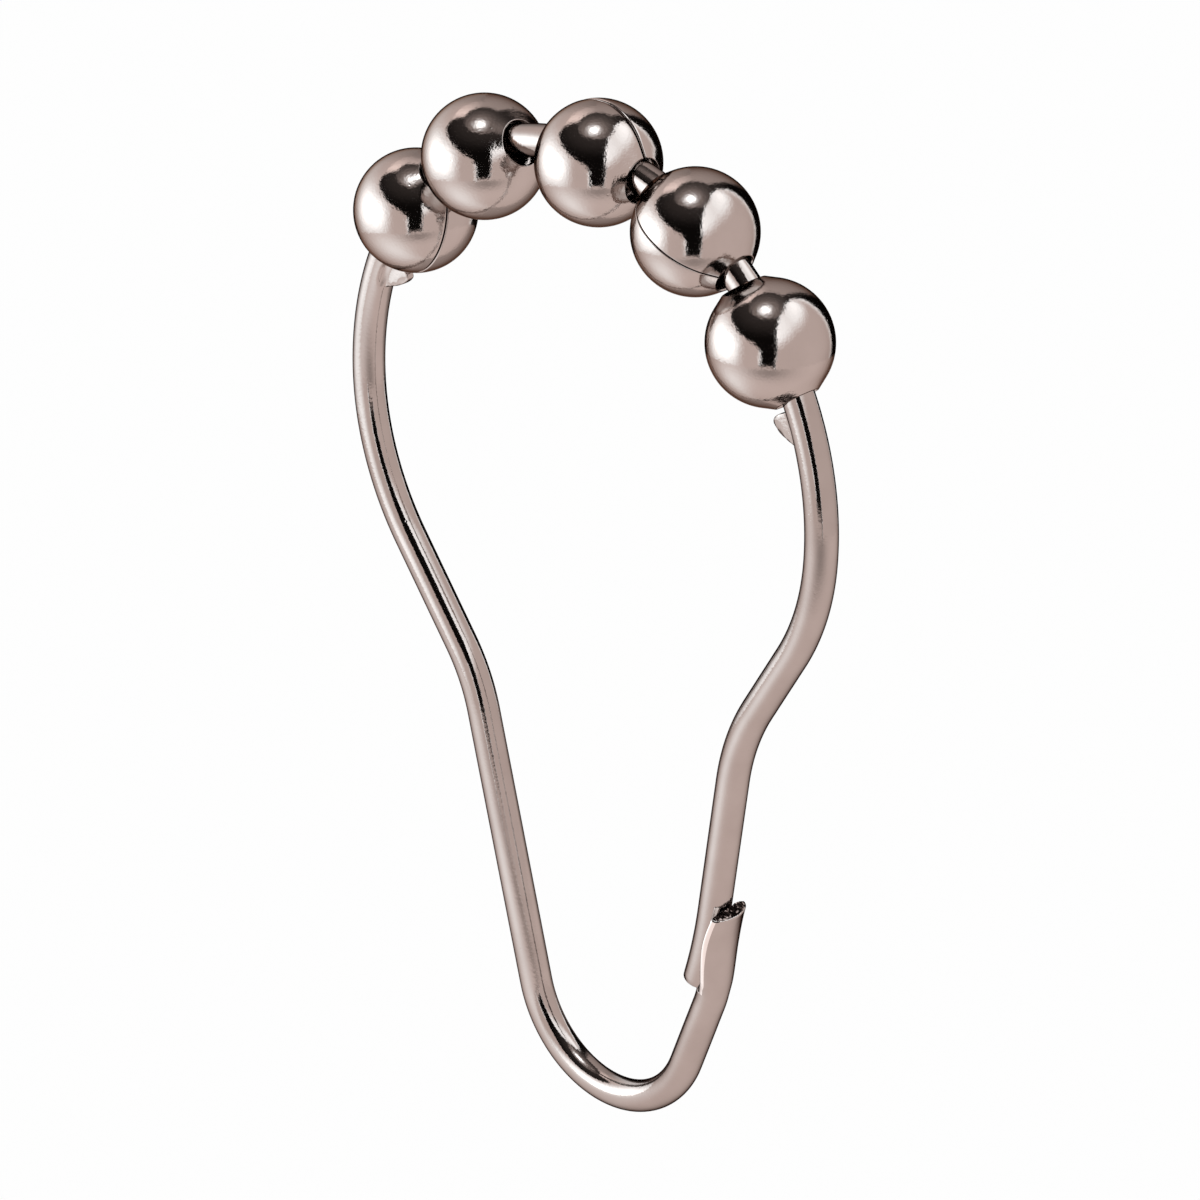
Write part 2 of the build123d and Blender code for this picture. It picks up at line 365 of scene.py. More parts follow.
def stop_radius(angles, along):
    """Distance of the pinched wire's skin from its middle, for ring angles at one place along a stop."""
    radius = np.full(angles.shape, WIRE_RADIUS)
    toward_fin, across = np.cos(angles), np.sin(angles)
    bow_radius = (PINCH_LENGTH**2 / 4 + PINCH_RADIUS**2) / (2 * PINCH_RADIUS)
    punch_radius = math.sqrt(max(bow_radius**2 - along**2, 0.0)) - (bow_radius - PINCH_RADIUS)
    punch_toward, punch_across = WIRE_RADIUS + PINCH_RISE, STOP_THICKNESS / 2 + PINCH_RADIUS
    for side in (1, -1):
        nearest = toward_fin * punch_toward + across * side * punch_across
        inside = nearest**2 - (punch_toward**2 + punch_across**2 - max(punch_radius, 0.0) ** 2)
        reached = (inside > 0) & (nearest > 0)
        dent = np.where(reached, nearest - np.sqrt(np.maximum(inside, 0.0)), 2 * WIRE_RADIUS)
        radius = soft_min(radius, dent, PINCH_SOFT)
    if abs(along) <= STOP_LENGTH / 2 + FINE_STEP:
        top = crest_height(along) / np.maximum(toward_fin, TINY)
        wall = STOP_THICKNESS / 2 / np.maximum(np.abs(across), TINY)
        fin = np.where(toward_fin > 0, soft_min(top, wall, FIN_SOFT), 0.0)
        radius = soft_max(radius, fin, PINCH_SOFT)
    return radius


stop_places = []
for stop_angle, ball_side in ((right_stop, 1), (left_stop, -1)):
    stop_places.append((arch_start + math.radians(ARCH_END_RIGHT - stop_angle) * ARCH_RADIUS, ball_side))

# Places of the rings: even steps along each run, and fine ones at the stops
run_ends = np.concatenate([[0.0], np.cumsum([length for length, _ in wire_runs])])
stations = []
for run_start, run_end in zip(run_ends, run_ends[1:]):
    count = max(2, math.ceil((run_end - run_start) / RING_STEP))
    stations.append(np.linspace(run_start, run_end, count, endpoint=False))
stations = np.concatenate(stations)
for place, _ in stop_places:
    stations = stations[np.abs(stations - place) > STOP_SPAN]
    stations = np.concatenate([stations, np.arange(place - STOP_SPAN, place + STOP_SPAN, FINE_STEP)])
stations = np.sort(stations)

rings = []
plain_radius = np.full(RING_SIZE, WIRE_RADIUS)
for bevel_turn in np.linspace(0.0, np.pi / 2, TIP_RINGS, endpoint=False):
    inset = TIP_BEVEL * (1 - math.sin(bevel_turn))
    along = TIP_BEVEL * (1 - math.cos(bevel_turn)) - TIP_REACH
    point, heading = advance(*wire_starts[0], along, wire_runs[0])
    rings.append((point, float(heading), wire_ring_angles(0.0), plain_radius - inset))
for station in stations[stations > TIP_BEVEL]:
    index = min(np.searchsorted(run_ends, station, side="right") - 1, len(wire_runs) - 1)
    point, heading = advance(*wire_starts[index], station - run_ends[index], wire_runs[index])
    angles, radius = wire_ring_angles(0.0), plain_radius
    for place, ball_side in stop_places:
        along = (station - place) * ball_side
        if abs(along) < STOP_SPAN:
            gather = float(1 - smooth_step(abs(along), STOP_SPAN - GATHER_FADE, STOP_SPAN))
            angles = wire_ring_angles(gather)
            radius = stop_radius(angles, along)
    rings.append((point, float(heading), angles, radius))

skin, lip_highlight_rings = [], []
for point, heading, angles, radius in rings:
    inward = np.array([-math.sin(heading), math.cos(heading)])
    flat = point + inward * (np.cos(angles) * radius)[:, None]
    skin.append(np.stack([flat[:, 0], np.sin(angles) * radius, flat[:, 1]], 1))
    lip_highlight_rings.append(False)

# Catch: rings go on from the riser, widen, and open into a cup at the shelf under the leg's tip.
# Heights are above the leg's tip. The cup is a little wider than the solid, its lips reach further
# round the leg's tip, and its end is torn, crowned and slanted.
NECK_HEIGHT = -1.5
SHELF_SOFT = 0.05
CUP_SMOOTH, CUP_FLATNESS = 0.1, 0.25
LIP_ALLOWANCE, LIP_WRAP, LIP_WRAP_TOP = 0.14, 0.4, 0.9
# Faces on each side of a lip that take the painted highlight
LIP_HIGHLIGHT_FACES = 5
WIDE_ALLOWANCE, WIDE_ALLOWANCE_TOP = 0.12, 1.0
WIDE_SLOPES, THICK_SLOPES = (0.0, 0.09, -0.12), (0.0, 0.0, 0.0)
CENTRE_SLOPES = (math.tan(lean), -0.03, 0.2)
END_REACH, END_ROUND, END_RINGS = 0.2, 0.1, 6
END_SLANT_ACROSS, END_SLANT_OUT, END_CROWN = 0.2, -0.35, 0.4
TORN_DEPTH, TORN_RIPPLE = 0.045, 0.03
TORN_WAVES = ((1.9, 0.0), (0.37, 1.0), (0.9, 2.0))  # turn per point and start, in radians
FOOT_STEP, CUP_STEP, SHELF_STEP = 0.2, 0.1, 0.025
SHELF_BELOW, SHELF_ABOVE, CUP_START = 0.25, 0.4, 0.45
OUTLINE_POINTS = 480
ELLIPSE = 2


def along_cup(height, values, slopes):
    """A smooth value up the catch, given at its neck, its flare and its top with the slope there."""
    heights = (NECK_HEIGHT, CATCH_FLARE, CATCH_LENGTH)
    first = 0 if height < CATCH_FLARE else 1
    span = heights[first + 1] - heights[first]
    t = (height - heights[first]) / span
    return (
        (1 + 2 * t) * (1 - t) ** 2 * values[first]
        + t * (1 - t) ** 2 * span * slopes[first]
        + t * t * (3 - 2 * t) * values[first + 1]
        + t * t * (t - 1) * span * slopes[first + 1]
    )


def cup_size(height):
    """Centre, half thickness and half width of the catch at a height."""
    if height < NECK_HEIGHT:
        return CATCH_CENTRE + height * math.tan(lean), WIRE_RADIUS, WIRE_RADIUS
    wide, thick, narrow = CATCH_WIDTH / 2, CATCH_THICKNESS / 2, CATCH_TOP_NARROWING / 2
    neck_centre = CATCH_CENTRE + NECK_HEIGHT * math.tan(lean)
    centres = (neck_centre, CATCH_CENTRE - CATCH_SETBACK, CATCH_CENTRE)
    half_wide = along_cup(height, (WIRE_RADIUS, wide, wide - narrow), WIDE_SLOPES)
    half_wide += WIDE_ALLOWANCE * float(smooth_step(height, -SHELF_GAP, WIDE_ALLOWANCE_TOP))
    half_thick = along_cup(height, (WIRE_RADIUS, thick, thick - narrow), THICK_SLOPES)
    return along_cup(height, centres, CENTRE_SLOPES), half_thick, half_wide


def lip_edge(height):
    """Distance of the cup's lips from the leg's axis, outwards, at a height."""
    heights = np.array([-SHELF_GAP, CATCH_LENGTH / 2, CATCH_LENGTH])
    edge = np.polyfit(heights, np.array([LIP_BOTTOM, LIP_MIDDLE, LIP_TOP]), 2)
    wrap = LIP_WRAP * float(1 - smooth_step(height, -SHELF_GAP, LIP_WRAP_TOP))
    return float(np.polyval(edge, max(height, -SHELF_GAP))) - LIP_ALLOWANCE - wrap


def resample(outline, count):
    """Points at equal steps along an open line."""
    steps = np.concatenate([[0.0], np.cumsum(np.linalg.norm(np.diff(outline, axis=0), axis=1))])
    places = (np.arange(count) + 0.5) / count * steps[-1]
    return np.stack([np.interp(places, steps, outline[:, axis]) for axis in range(2)], 1)


def oval(sweep, centre, half_thick, half_wide, power):
    """Part of an oval, as distances outwards and across: flatter-sided than an ellipse for powers below 2."""
    thick, wide = np.cos(sweep), np.sin(sweep)
    thick = np.sign(thick) * np.abs(thick) ** (2 / power)
    wide = np.sign(wide) * np.abs(wide) ** (2 / power)
    return np.stack([thick * half_thick, wide * half_wide], 1) + np.array([centre, 0.0])


def smoothed(loop, width):
    """A closed line with its corners blurred over a width."""
    length = np.linalg.norm(np.roll(loop, -1, 0) - loop, axis=1).sum()
    waves = np.fft.fftfreq(len(loop), d=length / len(loop))
    blur = np.exp(-2 * (np.pi * waves * width) ** 2)[:, None]
    return np.real(np.fft.ifft(np.fft.fft(loop, axis=0) * blur, axis=0))


def cup_ring(height, centre, half_thick, half_wide, opened):
    """One ring across the catch, as distances outwards and across: outer half, then inner half."""
    lip = lip_edge(height)
    power = ELLIPSE - CUP_FLATNESS * smooth_step(height, 0.0, CATCH_FLARE)
    share = np.clip((lip - centre) / half_thick, -1.0, 1.0)
    turn = math.acos(math.copysign(abs(share) ** (power / 2), share))
    sizes = (centre, half_thick, half_wide, power)
    outer = oval(np.linspace(turn, -turn, OUTLINE_POINTS), *sizes)
    closed = oval(np.linspace(2 * np.pi - turn, turn, OUTLINE_POINTS), *sizes)
    across = np.linspace(outer[-1, 1], outer[0, 1], OUTLINE_POINTS)
    groove = np.sqrt(np.maximum(GROOVE_RADIUS**2 - across**2, 0.0))
    cupped = np.stack([np.maximum(lip, groove), across], 1)
    inner = closed * (1 - opened) + cupped * opened
    loop = np.concatenate([resample(outer, OUTLINE_POINTS), resample(inner, OUTLINE_POINTS)])
    loop = smoothed(loop, CUP_SMOOTH)
    halves = (loop[:OUTLINE_POINTS], loop[OUTLINE_POINTS:])
    return np.concatenate([resample(points, HALF_RING) for points in halves])


def torn_depth():
    """Uneven depth of the tear, for the points round a ring."""
    place = np.arange(RING_SIZE)
    fast, slow, ripple = (np.sin(turn * place + start) for turn, start in TORN_WAVES)
    return np.abs(TORN_DEPTH * fast * slow + TORN_RIPPLE * ripple)


end_turns = np.linspace(0, np.pi / 2, END_RINGS + 1)[1:]
end_height = CATCH_LENGTH + END_REACH
cup_heights = np.concatenate([
    np.arange(-CATCH_FOOT * math.cos(lean) + FOOT_STEP, NECK_HEIGHT, FOOT_STEP),
    np.arange(NECK_HEIGHT, -SHELF_GAP - SHELF_BELOW, CUP_STEP),
    np.arange(-SHELF_GAP - SHELF_BELOW, -SHELF_GAP + SHELF_ABOVE, SHELF_STEP),
    np.arange(-SHELF_GAP + CUP_START, end_height - END_ROUND, CUP_STEP),
    end_height - END_ROUND * (1 - np.sin(end_turns)),
])
for height in cup_heights:
    centre, half_thick, half_wide = cup_size(height)
    rounded = max(0.0, height - (end_height - END_ROUND))
    pull = END_ROUND - math.sqrt(max(END_ROUND**2 - rounded**2, 0.0))
    opened = float(smooth_step(height, -SHELF_GAP - SHELF_SOFT, -SHELF_GAP + SHELF_SOFT))
    loop = cup_ring(height, centre, half_thick - pull, half_wide - pull, opened)

    # Rings lean with the riser at first, and stand square to the leg at the flare
    tilt = lean * (1 - smooth_step(height, -SHELF_GAP, CATCH_FLARE))
    ring_out = outwards * math.cos(tilt) - up_leg * math.sin(tilt)
    flat = catch_origin + outwards * centre + up_leg * height + (loop[:, :1] - centre) * ring_out

    from_middle = loop[:, 1] / half_wide
    slant = END_SLANT_ACROSS * from_middle + END_CROWN * (1 - from_middle**2)
    slant = slant + END_SLANT_OUT * (loop[:, 0] - centre) / half_thick
    flat = flat + up_leg * (slant * smooth_step(height, CATCH_LENGTH / 2, end_height))[:, None]
    flat = flat - up_leg * (torn_depth() * rounded / END_ROUND)[:, None]
    skin.append(np.stack([flat[:, 0], loop[:, 1], flat[:, 1]], 1))
    # Rings of the open cup take the near-white nickel by their lips, a painted highlight
    lip_highlight_rings.append(opened == 1.0)

# Faces of the wire, with the number of each one's material in wire_materials
# The third material is the near-white nickel that paints a highlight along the cup's lips
wire_materials = [wire_metal, cut_end, lip_highlight_metal]
PLATED, TORN, LIP_HIGHLIGHT = range(len(wire_materials))
faces, face_materials = [], []
for ring in range(len(skin) - 1):
    low, high = ring * RING_SIZE, (ring + 1) * RING_SIZE
    for index in range(RING_SIZE):
        following = (index + 1) % RING_SIZE
        faces.append((low + index, high + index, high + following, low + following))
        from_lip = min(following % HALF_RING, HALF_RING - following % HALF_RING)
        face_materials.append(LIP_HIGHLIGHT if lip_highlight_rings[ring] and from_lip < LIP_HIGHLIGHT_FACES else PLATED)


def close_across(first, flip):
    """Closes a ring end by joining its outer half to its inner half."""
    for index in range(HALF_RING - 1):
        a, b = first + index, first + index + 1
        c, d = first + RING_SIZE - 2 - index, first + RING_SIZE - 1 - index
        faces.append((a, b, c, d) if flip else (a, d, c, b))
        face_materials.append(TORN)


close_across(0, True)
close_across((len(skin) - 1) * RING_SIZE, False)
wire = mesh_piece("wire_ring_skin", np.concatenate(skin), faces, wire_materials, face_materials)
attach(wire, "wire_ring")
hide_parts("wire_ring")

# Balls: a formed sheet, closed round the wire with a butt seam.
# Points go along each skin, with some on its straight runs, over each rolled edge, and round the ball.
SKIN_POINTS, CONE_POINTS, RIM_POINTS = 84, 10, 7
AROUND = 132
RIM_BULGE = 0.55
SEAM_STEPS = (0.0, 0.012, 0.03, 0.055, 0.09, 0.16, 0.3)


def skin_line(radius):
    """One skin of a ball in section, as distances from and along its hole axis."""
    sweep = np.linspace(latitude, np.pi - latitude, SKIN_POINTS - 2 * CONE_POINTS)
    side = np.stack([radius * np.sin(sweep), radius * np.cos(sweep)], 1)
    top = np.linspace([HOLE_RADIUS, lip_height(radius)], side[0], CONE_POINTS, endpoint=False)
    bottom = np.linspace(side[-1], [HOLE_RADIUS, -lip_height(radius)], CONE_POINTS + 1)[1:]
    return np.concatenate([top, side, bottom])


def rolled_edge(start, end):
    """The sheet's edge at a hole in section, rounded from one skin to the other."""
    middle, arm = (start + end) / 2, (start - end) / 2
    turn = np.linspace(0, np.pi, RIM_POINTS + 2)[1:-1, None]
    bulge = np.array([-np.linalg.norm(arm), 0.0]) * RIM_BULGE
    return middle + arm * np.cos(turn) + bulge * np.sin(turn) - bulge * RIM_BULGE


# The sheet's outline in section: outer skin, rolled edge, inner skin back, rolled edge
outer = skin_line(BALL_RADIUS)
inner = skin_line(BALL_RADIUS - BALL_WALL)[::-1]
section = np.concatenate([outer, rolled_edge(outer[-1], inner[0]), inner, rolled_edge(inner[-1], outer[0])])
section_size = len(section)
is_outer = np.arange(section_size) < SKIN_POINTS
near_seam = np.array(SEAM_STEPS) / BALL_RADIUS
far_from_seam = np.linspace(near_seam[-1], 2 * np.pi - near_seam[-1], AROUND)[1:-1]
turns = np.concatenate([near_seam, far_from_seam, 2 * np.pi - near_seam[::-1]])


def ball_skin(seam_width, seam_round):
    """Points of a ball round its hole axis, with its seam towards the first axis."""
    slices = []
    for turn in turns:
        from_edge = min(turn, 2 * np.pi - turn) * BALL_RADIUS
        drop = seam_round - math.sqrt(max(seam_round**2 - max(seam_round - from_edge, 0.0) ** 2, 0.0))
        shrink = np.where(is_outer, 1 - drop / BALL_RADIUS, 1.0)
        slot = np.arcsin(seam_width / 2 / section[:, 0])
        angle = slot + turn / (2 * np.pi) * (2 * np.pi - 2 * slot)
        reach, along = section[:, 0] * shrink, section[:, 1] * shrink
        slices.append(np.stack([reach * np.cos(angle), reach * np.sin(angle), along], 1))
    return np.concatenate(slices)


ball_faces = []
for step in range(len(turns) - 1):
    low, high = step * section_size, (step + 1) * section_size
    for index in range(section_size):
        following = (index + 1) % section_size
        ball_faces.append((low + index, low + following, high + following, high + index))


def close_seam(first, flip):
    """Closes one side of the seam, joining the outer skin to the inner one."""
    inner_end = 2 * SKIN_POINTS + RIM_POINTS - 1
    loops = []
    for index in range(SKIN_POINTS - 1):
        loops.append((index, index + 1, inner_end - index - 1, inner_end - index))
    loops.append([SKIN_POINTS - 1 + step for step in range(RIM_POINTS + 2)])
    loops.append([inner_end + step for step in range(RIM_POINTS + 1)] + [0])
    for loop in loops:
        loop = tuple(first + corner for corner in loop)
        ball_faces.append(loop if flip else loop[::-1])


close_seam(0, False)
close_seam((len(turns) - 1) * section_size, True)

ball_places = zip(ball_angles, SEAM_ANGLES, SEAM_WIDTHS, SEAM_ROUNDS)
for number, (ball_angle, seam_angle, seam_width, seam_round) in enumerate(ball_places, start=1):
    turn, roll = math.radians(ball_angle), math.radians(seam_angle)
    outward = np.array([math.sin(turn), 0.0, math.cos(turn)])
    tangent = np.array([math.cos(turn), 0.0, -math.sin(turn)])
    to_seam = outward * math.cos(roll) + np.array([0.0, 1.0, 0.0]) * math.sin(roll)
    axes = np.stack([to_seam, np.cross(tangent, to_seam), tangent])
    name = f"roller_ball_{number}"
    ball_points = ball_skin(seam_width, seam_round) @ axes + outward * BALL_PATH_RADIUS
    ball = mesh_piece(name + "_skin", ball_points, ball_faces, [ball_metal])
    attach(ball, name)
    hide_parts(name)

# Stage: cards that only reflections see, which are two pale panels with a gap between them, a dark
# room, a ceiling with a lamp, a small table with a front rim, and a dark card behind.
# Sides are degrees to the camera's right, seen from the object, and heights are degrees up.
WARM, WHITE_FULL = (1.0, 0.82, 0.76), 0.8
DARK = 0.006
PANEL_LEVEL = 0.84
PANEL_FOOT, PANEL_END = -48.0, 128.0
GAP_LEFT, GAP_RIGHT = -16.0, 7.0
LEFT_DISTANCE, RIGHT_DISTANCE, ROOM_DISTANCE, CEILING_DISTANCE = 320.0, 280.0, 800.0, 700.0
ROOM_TOP, CEILING_FOOT, ZENITH = 74.0, 62.0, 90.0

# Left panel: pairs of a side and its height or level, then the white light on it and its edge
LEFT_TOP = (
    (16.0, 7.5), (26.0, 17.5), (50.0, 25.5), (80.0, 33.0), (110.0, 36.0), (125.0, 45.0), (180.0, 45.0),
)
LEFT_LEVEL = ((16.0, 0.84), (120.0, 0.92), (150.0, 0.88), (180.0, 0.42))
LEFT_LIGHT, LEFT_LIGHT_HEIGHT, LEFT_LIGHT_ABOVE, LEFT_LIGHT_BELOW = 2.3, 6.0, 18.0, 25.0
LEFT_LIGHT_RISE, LEFT_LIGHT_FALL, LEFT_LIGHT_LOSS = (42.0, 84.0), (98.0, 138.0), 0.7
LEFT_EDGE, LEFT_EDGE_WIDTH = 1.0, 2.5

# Right panel: the same, with a lobe of white light
RIGHT_FOOT = ((7.0, -28.5), (16.0, -33.0), (64.0, -52.4), (PANEL_END, -42.0))
RIGHT_TOP = (
    (7.0, -24.5), (12.0, 10.8), (13.5, 30.4), (19.0, 46.0), (30.0, 57.7), (40.0, 62.5),
    (94.0, 67.2), (120.0, 56.8), (PANEL_END, 39.0),
)
LOBE_FOOT = ((12.0, 4.0), (50.0, 22.0), (95.0, 30.0), (PANEL_END, 34.0))
LOBE_LEVEL = ((12.0, 0.95), (50.0, 0.65), (95.0, 1.15))
LOBE_DEPTH = 24.0
LOBE_TOP, LOBE_TOP_LOSS = (56.0, 68.0), 0.3
LOBE_END, LOBE_END_LOSS = (104.0, 124.0), 0.8
TOP_EDGE, TOP_EDGE_WIDTH, TOP_EDGE_END = 0.9, 5.0, 20.0
FAR_EDGE, FAR_EDGE_WIDTH = 0.8, 6.0

# Room: where its wall starts at a height, the wall's level at a side, and the haze above
WALL_START = ((-20.0, 172.0), (0.0, 157.0), (17.0, 148.0), (40.0, 142.0), (66.0, 140.0))
WALL_LEVEL = ((140.0, 0.50), (180.0, 0.54), (205.0, 1.05), (225.0, 1.5), (236.0, 1.1), (242.0, 0.0))
WALL_BEFORE, WALL_AFTER, WALL_TOP = 1.0, 5.0, (58.0, 70.0)
HAZE, HAZE_RISE = 0.04, (25.0, 60.0)

# Ceiling: its lamp, with the light round it
CEILING_LEVEL = 0.02
LAMP_SIDE, LAMP_HEIGHT = -27.0, 78.0
LAMP_LEVEL, LAMP_WIDTH = 4.2, 6.5
HALO_LEVEL, HALO_WIDTH = 0.40, 18.0
WIDE_HALO_LEVEL, WIDE_HALO_WIDTH = 0.14, 34.0

# Table: shade and shine as a level, then a centre and width for the side and for the height
TABLE_HEIGHT, TABLE_RADIUS, TABLE_HOLE = -54.5, 146.0, 0.5
TABLE_LEVEL = 0.93
SHADE_LEVEL, SHADE_SIDE, SHADE_HEIGHT = 0.46, (0.0, 36.0), (-33.0, 12.0)
SHINE_LEVEL, SHINE_SIDE, SHINE_HEIGHT = 0.50, (-76.0, 38.0), (-54.0, 26.0)
BACK_RIGHT, BACK_LEFT, BACK_LOSS = (116.0, 140.0), (140.0, 165.0), 0.4
RIM_FOOT, RIM_FADE, RIM_TOP, RIM_DISTANCE = -20.5, -18.5, -13.0, 155.0

# Card behind
REAR_DISTANCE, REAR_REACH, REAR_FADE = 240.0, 33.0, 18.0
REAR_LEVEL, REAR_LEFT_LEVEL = 0.02, 0.35
REAR_CIRCLES, REAR_AROUND = 24, 64

azimuth, elevation, roll = (math.radians(v) for v in (CAMERA_AZIMUTH, CAMERA_ELEVATION, CAMERA_ROLL))
to_camera = np.array([math.sin(azimuth), -math.cos(azimuth), 0.0])
to_right = np.array([math.cos(azimuth), math.sin(azimuth), 0.0])
straight_up = np.array([0.0, 0.0, 1.0])
backwards = to_camera * math.cos(elevation) + straight_up * math.sin(elevation)


def toward(side, height):
    """Directions from the object at a side and a height."""
    side, height = np.radians(side), np.radians(height)
    level = np.cos(side)[..., None] * to_camera + np.sin(side)[..., None] * to_right
    return np.cos(height)[..., None] * level + np.sin(height)[..., None] * straight_up


def hill(value, centre, width):
    """1 at a centre, falling smoothly to both sides."""
    return np.exp(-(((value - centre) / width) ** 2))


def between(value, pairs):
    """A value read from a table of pairs, on straight lines between them."""
    places, values = zip(*pairs)
    return np.interp(value, places, values)


def constant(value):
    """A height that is the same at every side."""
    return lambda side: np.full_like(side, value)


def glow_material(name):
    """A material that shines in the colours stored on a mesh's points."""
    material = bpy.data.materials.new(name)
    material.use_nodes = True
    nodes, links = material.node_tree.nodes, material.node_tree.links
    nodes.clear()
    emission = nodes.new("ShaderNodeEmission")
    attribute = nodes.new("ShaderNodeAttribute")
    attribute.attribute_name = "glow"
    links.new(attribute.outputs["Color"], emission.inputs["Color"])
    output = nodes.new("ShaderNodeOutputMaterial")
    links.new(emission.outputs["Emission"], output.inputs["Surface"])
    material.cycles.emission_sampling = "NONE"
    return material


glow = glow_material("panel_glow")


def stage_card(name, points, faces, warm, white):
    """A card that only reflections see: warm paper, whiter where white light falls on it."""
    card = mesh_piece(name, points, faces, [glow])
    warm = np.asarray(warm, dtype=float).ravel()[:, None]
    white = np.asarray(white, dtype=float).ravel()[:, None]
    whiteness = np.clip(white / WHITE_FULL, 0.0, 1.0)
    tint = np.array(WARM) * (1 - whiteness) + whiteness
    colours = np.concatenate([warm * tint + white, np.ones_like(warm)], 1)
    card.data.attributes.new("glow", "FLOAT_COLOR", "POINT").data.foreach_set("color", colours.ravel())
    card.visible_camera = False
    card.visible_shadow = False
    card.visible_diffuse = False


def grid_faces(rows, columns):
    """Faces of a grid of points, row by row."""
    faces = []
    for row in range(rows - 1):
        for column in range(columns - 1):
            first = row * columns + column
            faces.append((first, first + 1, first + columns + 1, first + columns))
    return faces


def panel(name, sides, low, high, distance, glow_at, columns, rows=64):
    """A card curved round the object, between two heights that may vary along it."""
    side = np.linspace(sides[0], sides[1], columns)
    low, high = low(side), high(side)
    height = low + (high - low) * np.linspace(0, 1, rows)[:, None]
    side = np.broadcast_to(side, height.shape)
    points = (toward(side, height) * distance).reshape(-1, 3)
    stage_card(name, points, grid_faces(rows, columns), *glow_at(side, height))


def left_top(side):
    """Top of the left panel."""
    return between(-side, LEFT_TOP)


def left_glow(side, height):
    """Paper lit white round the object's left, with a bright edge at the gap."""
    around = smooth_step(-side, *LEFT_LIGHT_RISE)
    around = around * (1 - LEFT_LIGHT_LOSS * smooth_step(-side, *LEFT_LIGHT_FALL))
    depth = np.where(height > LEFT_LIGHT_HEIGHT, LEFT_LIGHT_ABOVE, LEFT_LIGHT_BELOW)
    light = LEFT_LIGHT * around * hill(height, LEFT_LIGHT_HEIGHT, depth)
    return between(-side, LEFT_LEVEL), light + LEFT_EDGE * hill(side, GAP_LEFT, LEFT_EDGE_WIDTH)


def right_foot(side):
    """Foot of the right panel."""
    return between(side, RIGHT_FOOT)


def right_top(side):
    """Top of the right panel."""
    return between(side, RIGHT_TOP)


def right_glow(side, height):
    """Paper with a lobe of white light high up, and bright edges by the gap and at the far end."""
    foot = between(side, LOBE_FOOT)
    band = smooth_step(height, foot, foot + LOBE_DEPTH)
    band = band * (1 - LOBE_TOP_LOSS * smooth_step(height, *LOBE_TOP))
    lobe = between(side, LOBE_LEVEL) * band * (1 - LOBE_END_LOSS * smooth_step(side, *LOBE_END))
    top_edge = TOP_EDGE * hill(height, right_top(side), TOP_EDGE_WIDTH) * (side < TOP_EDGE_END)
    far_edge = FAR_EDGE * hill(side, PANEL_END, FAR_EDGE_WIDTH)
    return np.full_like(side, PANEL_LEVEL), lobe + (top_edge + far_edge)


def room_glow(side, height):
    """Dark in front and at the right, with a dim wall behind that is lighter towards the left."""
    round_back = np.where(side > 0, side, side + 360.0)
    start = between(height, WALL_START)
    shown = smooth_step(round_back, start - WALL_BEFORE, start + WALL_AFTER)
    shown = shown * (1 - smooth_step(height, *WALL_TOP))
    haze = HAZE * smooth_step(height, *HAZE_RISE)
    return DARK + haze + between(round_back, WALL_LEVEL) * shown, np.zeros_like(side)


def ceiling_glow(side, height):
    """A dark ceiling with a lamp and the light round it."""
    lamp = toward(np.array(LAMP_SIDE), np.array(LAMP_HEIGHT))
    off = np.degrees(np.arccos(np.clip(toward(side, height) @ lamp, -1.0, 1.0)))
    level = CEILING_LEVEL + HALO_LEVEL * hill(off, 0.0, HALO_WIDTH)
    level = level + WIDE_HALO_LEVEL * hill(off, 0.0, WIDE_HALO_WIDTH)
    return level, LAMP_LEVEL * hill(off, 0.0, LAMP_WIDTH)


def table_glow(side, height):
    """The table as a ball sees it: shaded in front, bright by the left panel, and darker at the back."""
    shade = SHADE_LEVEL * hill(side, *SHADE_SIDE) * hill(height, *SHADE_HEIGHT)
    shine = SHINE_LEVEL * hill(side, *SHINE_SIDE) * hill(height, *SHINE_HEIGHT)
    back = (1 - BACK_LOSS * smooth_step(side, *BACK_RIGHT)) * (1 - BACK_LOSS * smooth_step(-side, *BACK_LEFT))
    return (TABLE_LEVEL - shade) * back, shine


def rim_glow(side, height):
    """The table's front rim, fading upwards into the dark of the gap."""
    return PANEL_LEVEL * (1 - smooth_step(height, RIM_FADE, RIM_TOP)) + DARK, np.zeros_like(side)


def table_card(columns=180, rows=60):
    """A small round table just under the ring."""
    side = np.broadcast_to(np.linspace(-180.0, 180.0, columns), (rows, columns))
    reach = np.broadcast_to(np.linspace(TABLE_HOLE, TABLE_RADIUS, rows)[:, None], (rows, columns))
    height = -np.degrees(np.arctan((BALL_PATH_RADIUS - TABLE_HEIGHT) / reach))
    points = toward(side, np.zeros_like(side)) * reach[..., None] + np.array([0.0, 0.0, TABLE_HEIGHT])
    stage_card("table", points.reshape(-1, 3), grid_faces(rows, columns), *table_glow(side, height))


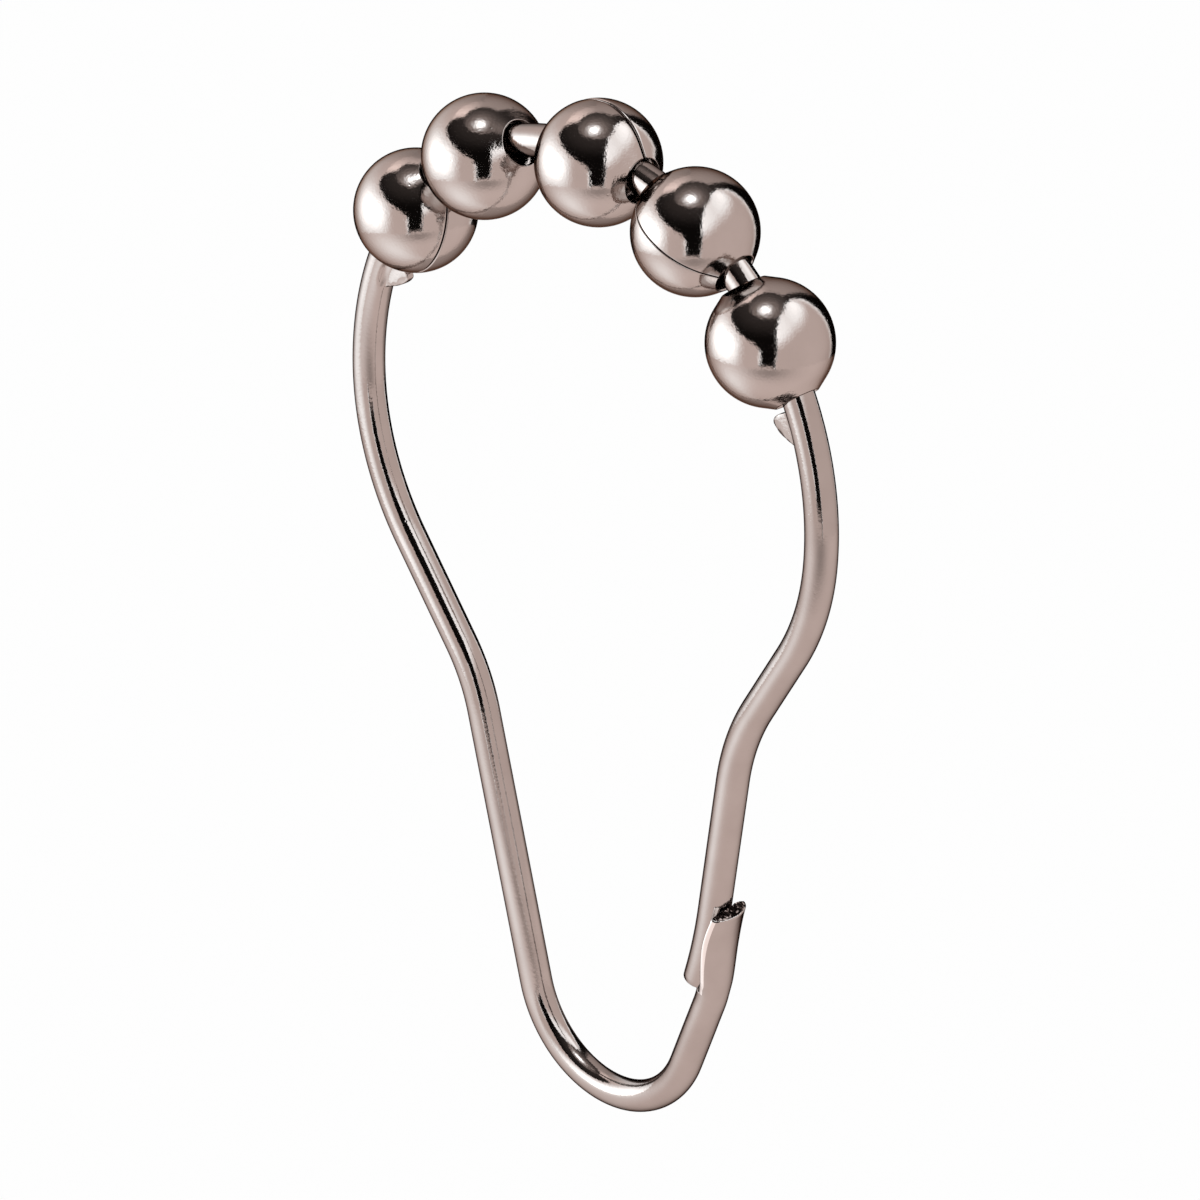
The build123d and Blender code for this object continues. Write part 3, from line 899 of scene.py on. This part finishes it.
def rim_card():
    """A dark card low behind the object, which draws thin dark edges round bright metal."""
    rear = -backwards
    first = np.cross(rear, straight_up)
    first /= np.linalg.norm(first)
    second = np.cross(first, rear)
    points, faces, values = [], [], []
    for circle in range(REAR_CIRCLES + 1):
        tilt = math.radians(REAR_REACH) * circle / REAR_CIRCLES
        for step in range(REAR_AROUND):
            turn = 2 * math.pi * step / REAR_AROUND
            aside = first * math.cos(turn) + second * math.sin(turn)
            points.append((rear * math.cos(tilt) + aside * math.sin(tilt)) * REAR_DISTANCE)
            leftness = 0.5 - 0.5 * math.cos(turn)
            fade = smooth_step(math.degrees(tilt), REAR_FADE, REAR_REACH)
            values.append(REAR_LEVEL + REAR_LEFT_LEVEL * leftness * fade)
    for circle in range(REAR_CIRCLES):
        low, high = circle * REAR_AROUND, (circle + 1) * REAR_AROUND
        for step in range(REAR_AROUND):
            following = (step + 1) % REAR_AROUND
            faces.append((low + step, low + following, high + following, high + step))
    stage_card("rim_card", points, faces, values, np.zeros(len(values)))


WHOLE_ROUND, GAP = (-180.0, 180.0), (GAP_LEFT, GAP_RIGHT)
foot, room_top = constant(PANEL_FOOT), constant(ROOM_TOP)
ceiling_foot, zenith = constant(CEILING_FOOT), constant(ZENITH)
panel("left_panel", (-180.0, GAP_LEFT), foot, left_top, LEFT_DISTANCE, left_glow, columns=200)
panel("right_panel", (GAP_RIGHT, PANEL_END), right_foot, right_top, RIGHT_DISTANCE, right_glow, columns=200)
panel("dark_room", WHOLE_ROUND, foot, room_top, ROOM_DISTANCE, room_glow, columns=240)
panel("ceiling", WHOLE_ROUND, ceiling_foot, zenith, CEILING_DISTANCE, ceiling_glow, columns=180, rows=80)
panel("table_rim", GAP, constant(RIM_FOOT), constant(RIM_TOP), RIM_DISTANCE, rim_glow, columns=24, rows=24)
table_card()
rim_card()

# Floor, far enough below the hanging ring that its shadow stays out of view
FLOOR_HEIGHT, FLOOR_SIZE = -300.0, 6000.0
FLOOR_WHITE = (0.99, 0.99, 0.99, 1.0)
sides = ((-1, -1), (1, -1), (1, 1), (-1, 1))
floor_corners = [(x * FLOOR_SIZE, y * FLOOR_SIZE, FLOOR_HEIGHT) for x, y in sides]
floor_material, _, _, shader = nodes_of("pale_floor")
shader.inputs["Base Color"].default_value = FLOOR_WHITE
shader.inputs["Roughness"].default_value = 1.0
shader.inputs["Specular IOR Level"].default_value = 0.0
floor = mesh_piece("floor", floor_corners, [(0, 1, 2, 3)], [floor_material])
floor.visible_glossy = False

world = bpy.data.worlds.new("white_studio")
bpy.context.scene.world = world
world.use_nodes = True
world.node_tree.nodes["Background"].inputs["Color"].default_value = (1.0, 1.0, 1.0, 1.0)
world.node_tree.nodes["Background"].inputs["Strength"].default_value = 1.0

# Camera
CLIP_START, CLIP_END = 0.01, 50.0  # in metres
up = np.cross(backwards, to_right)
camera_right = math.cos(roll) * to_right + math.sin(roll) * up
camera_up = -math.sin(roll) * to_right + math.cos(roll) * up
eye = backwards * CAMERA_DISTANCE + camera_right * CAMERA_SHIFT_RIGHT + camera_up * CAMERA_SHIFT_UP
camera_data = bpy.data.cameras.new("camera")
camera_data.lens = CAMERA_LENS
camera_data.sensor_width = CAMERA_SENSOR
camera_data.clip_start = CLIP_START
camera_data.clip_end = CLIP_END
camera = bpy.data.objects.new("camera", camera_data)
camera.matrix_world = Matrix((
    (camera_right[0], camera_up[0], backwards[0], eye[0] * MM),
    (camera_right[1], camera_up[1], backwards[1], eye[1] * MM),
    (camera_right[2], camera_up[2], backwards[2], eye[2] * MM),
    (0.0, 0.0, 0.0, 1.0),
))
bpy.context.scene.collection.objects.link(camera)
bpy.context.scene.camera = camera
bpy.context.scene.view_settings.view_transform = "Standard"
